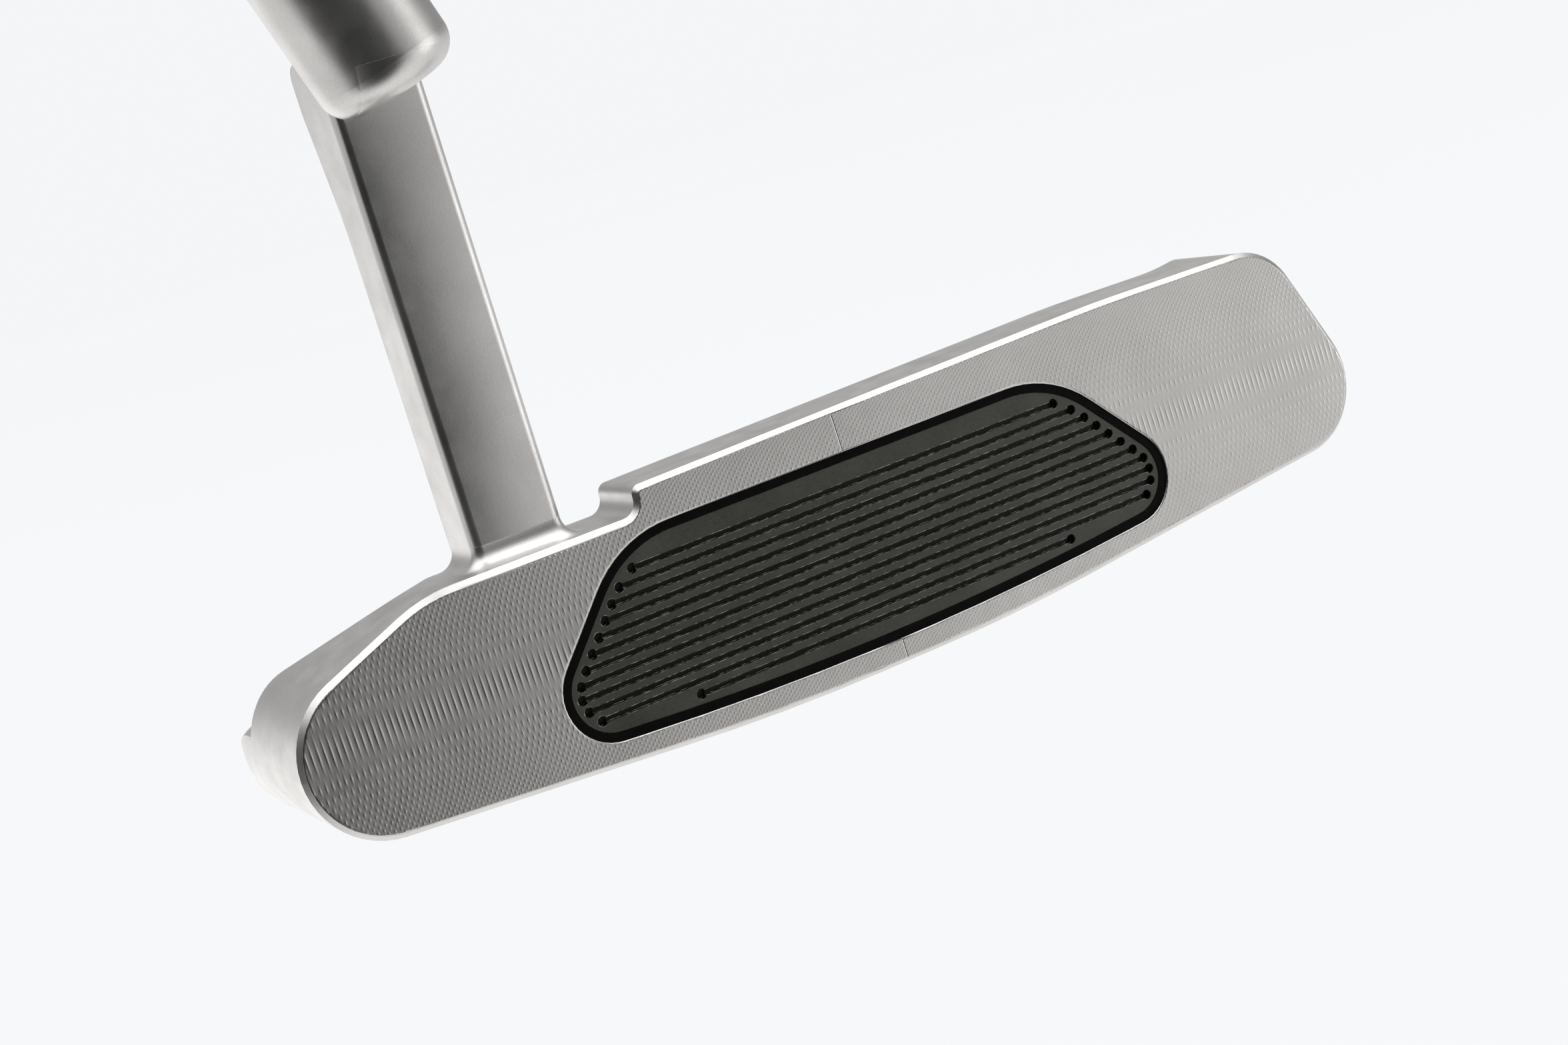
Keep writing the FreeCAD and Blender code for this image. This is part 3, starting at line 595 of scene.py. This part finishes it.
def add_milled_face():
    """The two halves of the milled face, which meet at the middle of the blade."""
    material = milled_steel()
    loops = face_loops(nodes["putter_head"])
    half = MARK_PITCH * math.ceil(FACE_REACH / MARK_PITCH)
    for name, x_low, x_high in (("milled_face_heel", -half, 0.0), ("milled_face_toe", 0.0, half)):
        mesh = MilledSkin(loops, x_low, x_high).mesh(name)
        mesh.materials.append(material)
        skin = place_in_scene(name, mesh)
        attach(skin, "root")


# ---- the face insert ----

def add_insert_with_painted_edges(material):
    """The insert, with the edges of its grooves and holes bevelled and coloured bright as a painted highlight.
    """
    shape = bmesh.new()
    shape.from_mesh(nodes["face_insert"].data)
    bmesh.ops.remove_doubles(shape, verts=shape.verts, dist=WELD)
    bmesh.ops.dissolve_limit(shape, angle_limit=INSERT_FLAT, verts=shape.verts, edges=shape.edges)
    mesh = bpy.data.meshes.new("face_insert_painted_edges")
    shape.to_mesh(mesh)
    shape.free()
    mesh.materials.append(material)
    mesh.materials.append(painted_edge_highlight())
    insert = place_in_scene("face_insert_painted_edges", mesh)
    bevel = insert.modifiers.new("broken_edges", "BEVEL")
    bevel.width = INSERT_EDGE
    bevel.segments = 2
    bevel.limit_method = "ANGLE"
    bevel.angle_limit = INSERT_SHARP
    # the bevels get the painted highlight material
    bevel.material = 1
    bevel.use_clamp_overlap = False
    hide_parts("face_insert")
    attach(insert, "root")


# ---- the grip ----

def cut_rings(shape, middles):
    """Loops of edges round the grip, where the rims and floors of the rings will be."""
    for middle in middles:
        for share in RING_EDGES:
            cut = SHAFT_FOOT + SHAFT_AXIS * (middle + share * RING_WIDTH)
            everything = shape.verts[:] + shape.edges[:] + shape.faces[:]
            bmesh.ops.bisect_plane(shape, geom=everything, plane_co=cut, plane_no=SHAFT_AXIS)


def press_rings(shape, middles):
    """Moves the rings' floors into the skin, on its outer side only."""
    shape.normal_update()
    for vertex in shape.verts:
        offset = vertex.co - SHAFT_FOOT
        along = offset.dot(SHAFT_AXIS)
        outwards = vertex.normal.dot(offset - SHAFT_AXIS * along)
        nearest = min(abs(along - middle) for middle in middles)
        if outwards > 0 and nearest < RING_FLOOR * RING_WIDTH:
            vertex.co -= vertex.normal * RING_DEPTH


def add_ringed_grip(material):
    """The grip's skin with shallow rings pressed round it, so that it holds in the hands."""
    shape = bmesh.new()
    shape.from_mesh(nodes["grip_skin"].data)
    bmesh.ops.remove_doubles(shape, verts=shape.verts, dist=WELD)
    middles = [RING_START + RING_PITCH * k for k in range(RING_COUNT)]
    cut_rings(shape, middles)
    press_rings(shape, middles)
    mesh = bpy.data.meshes.new("ringed_grip")
    shape.to_mesh(mesh)
    shape.free()
    mesh.shade_smooth()
    mesh.set_sharp_from_angle(angle=RING_SHARP)
    mesh.materials.append(material)
    grip = place_in_scene("ringed_grip", mesh)
    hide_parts("grip_skin")
    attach(grip, "root")


# ---- finishes of the CAD nodes ----

def dress(name, material):
    """Puts one material on a CAD node."""
    mesh = nodes[name].data
    mesh.materials.clear()
    mesh.materials.append(material)


def dress_nodes(charcoal, polymer):
    """A finish for every CAD node."""
    blasted = satin_steel("satin_steel", crowned=True)
    weights = satin_steel("weight_steel", (0.40, 0.395, 0.385), (0.52, 0.515, 0.505))
    rubber = black_rubber("insert_bed_rubber", 0.002, 0.05)
    finishes = {
        "putter_head": blasted,
        "sole_weight_heel": weights,
        "sole_weight_toe": weights,
        "insert_bed": rubber,
        "face_insert": charcoal,
        "insert_bond_film": adhesive("bond_film", (0.50, 0.47, 0.38)),
        "sight_line_paint": paint(),
        "hosel_epoxy": adhesive("epoxy", (0.42, 0.38, 0.28)),
        "shaft_tip_plug": adhesive("plug_foam", (0.70, 0.70, 0.66)),
        "shaft": chrome(),
        "shaft_band": vinyl(),
        "grip_tape": masking_tape(),
        "grip_core": adhesive("core_foam", (0.20, 0.20, 0.21)),
        "grip_skin": polymer,
        "grip_collar": black_rubber("collar_rubber", 0.014),
        "grip_end_cap": black_rubber("cap_rubber", 0.014),
    }
    for name, material in finishes.items():
        dress(name, material)


# ---- studio ----

SKY = (0.905, 0.918, 0.935)
# brightness from straight down, 0, to straight up, 1
ROOM_BY_HEIGHT = ((0.0, 1.35), (0.36, 1.05), (0.49, 0.86), (0.58, 0.36), (0.78, 0.50), (0.92, 2.3))

# soft-edged round areas of the room: the direction, then the inner and outer edges in degrees from it
DARK_SIDE = ((-0.55, -0.835, 0.0), 43.0, 61.0)
KEY_SIDE = ((0.90, -0.44, 0.05), 9.0, 24.0)
BACK_SIDE = ((-0.20, 0.95, -0.22), 8.0, 32.0)
DARK_SHARE = 0.05
KEY_LEVEL = 1.4
BACK_LEVEL = 0.50

FLOOR_HEIGHT = -0.12
FLOOR_REACH = 6.0
FLOOR_SIDES = 24
FLOOR_GLOW = 0.86

CAMERA_LENS = 58.16                          # in mm, on a sensor 36 mm wide
CAMERA_PLACE = Vector((-103.921, -206.110, 58.433)) * MM
CAMERA_TURN = (79.160, 16.413, -27.988)      # about x, y and z, in degrees


class Room:
    """The world's nodes: how bright the room is in each direction."""

    def __init__(self):
        world = bpy.data.worlds.new("studio")
        bpy.context.scene.world = world
        world.use_nodes = True
        self.tree = world.node_tree
        self.tree.nodes.clear()
        self.direction = self.add("ShaderNodeTexCoord").outputs["Generated"]

    def add(self, kind):
        return self.tree.nodes.new(kind)

    def link(self, output, socket):
        self.tree.links.new(output, socket)

    def patch(self, area, level_in, level_out):
        """A round soft-edged area: level_in within its inner edge, level_out beyond its outer edge."""
        towards, inner, outer = area
        dot = self.add("ShaderNodeVectorMath")
        dot.operation = "DOT_PRODUCT"
        self.link(self.direction, dot.inputs[0])
        dot.inputs[1].default_value = Vector(towards).normalized()
        fade = self.add("ShaderNodeMapRange")
        fade.interpolation_type = "SMOOTHSTEP"
        self.link(dot.outputs["Value"], fade.inputs["Value"])
        fade.inputs["From Min"].default_value = math.cos(math.radians(outer))
        fade.inputs["From Max"].default_value = math.cos(math.radians(inner))
        fade.inputs["To Min"].default_value = level_out
        fade.inputs["To Max"].default_value = level_in
        return fade.outputs[0]

    def combine(self, operation, first, second):
        node = self.add("ShaderNodeMath")
        node.operation = operation
        self.link(first, node.inputs[0])
        self.link(second, node.inputs[1])
        return node.outputs[0]

    def by_height(self):
        """Brightness from straight down to straight up."""
        split = self.add("ShaderNodeSeparateXYZ")
        self.link(self.direction, split.inputs[0])
        share = self.add("ShaderNodeMapRange")
        self.link(split.outputs["Z"], share.inputs["Value"])
        share.inputs["From Min"].default_value = -1.0
        share.inputs["From Max"].default_value = 1.0
        ramp = self.add("ShaderNodeValToRGB")
        self.link(share.outputs[0], ramp.inputs[0])
        elements = ramp.color_ramp.elements
        while len(elements) < len(ROOM_BY_HEIGHT):
            elements.new(0.5)
        for element, (position, grey) in zip(elements, ROOM_BY_HEIGHT):
            element.position = position
            element.color = (grey, grey, grey, 1.0)
        return ramp.outputs[0]


def add_world():
    """A pale room, dark on the camera's side and bright past the toe, so round steel shows soft bands."""
    room = Room()
    dark = room.patch(DARK_SIDE, DARK_SHARE, 1.0)
    key = room.patch(KEY_SIDE, KEY_LEVEL, 0.0)
    back = room.patch(BACK_SIDE, BACK_LEVEL, 0.0)
    bright = room.combine("ADD", key, back)
    level = room.combine("MULTIPLY", room.combine("ADD", room.by_height(), bright), dark)
    light = room.add("ShaderNodeBackground")
    light.inputs["Color"].default_value = (1.0, 0.995, 0.985, 1.0)
    room.link(level, light.inputs["Strength"])
    seen = room.add("ShaderNodeBackground")
    seen.inputs["Color"].default_value = (*SKY, 1.0)
    path = room.add("ShaderNodeLightPath")
    choose = room.add("ShaderNodeMixShader")
    room.link(path.outputs["Is Camera Ray"], choose.inputs[0])
    room.link(light.outputs[0], choose.inputs[1])
    room.link(seen.outputs[0], choose.inputs[2])
    output = room.add("ShaderNodeOutputWorld")
    room.link(choose.outputs[0], output.inputs["Surface"])


def add_light(name, place, target, width, height, power):
    """A soft box that faces its target."""
    data = bpy.data.lights.new(name, "AREA")
    data.shape = "RECTANGLE"
    data.size, data.size_y = width, height
    data.energy = power
    light = place_in_scene(name, data)
    light.location = place
    light.rotation_euler = (Vector(target) - Vector(place)).to_track_quat("-Z", "Y").to_euler()
    light.visible_camera = False


def add_floor():
    """A wide pale floor, lit from within like a light table, a little below the raised head."""
    turns = [2 * math.pi * k / FLOOR_SIDES for k in range(FLOOR_SIDES)]
    points = [(FLOOR_REACH * math.cos(turn), FLOOR_REACH * math.sin(turn), FLOOR_HEIGHT) for turn in turns]
    mesh = bpy.data.meshes.new("floor")
    mesh.from_pydata(points, [], [tuple(range(FLOOR_SIDES))])
    graph = Graph("floor_paper")
    tone = graph.ramp(graph.noise(900.0, 1.0), [(0.3, 0.10), (0.7, 0.105)])
    graph.shader.inputs["Specular IOR Level"].default_value = 0.0
    graph.shader.inputs["Emission Color"].default_value = (*SKY, 1.0)
    graph.shader.inputs["Emission Strength"].default_value = FLOOR_GLOW
    mesh.materials.append(graph.finish(tone, 0.9, graph.bump(graph.noise(900.0, 1.0), 0.01, 0.1)))
    floor = place_in_scene("floor", mesh)
    floor.visible_glossy = False


def add_camera():
    """The camera stands before the heel, slightly above the blade, and rolled."""
    data = bpy.data.cameras.new("camera")
    data.sensor_width = 36.0
    data.lens = CAMERA_LENS
    data.clip_start = 0.01
    camera = place_in_scene("camera", data)
    camera.location = CAMERA_PLACE
    camera.rotation_euler = [math.radians(degrees) for degrees in CAMERA_TURN]
    bpy.context.scene.camera = camera


charcoal = charcoal_metal()
polymer = grip_polymer()
dress_nodes(charcoal, polymer)
add_milled_face()
add_insert_with_painted_edges(charcoal)
add_ringed_grip(polymer)
add_world()
add_floor()
add_light("overhead", place=(0.5, 0.3, 2.2), target=(0.0, 0.0, 0.1), width=1.2, height=1.0, power=10.0)
add_camera()
bpy.context.scene.view_settings.view_transform = "Standard"
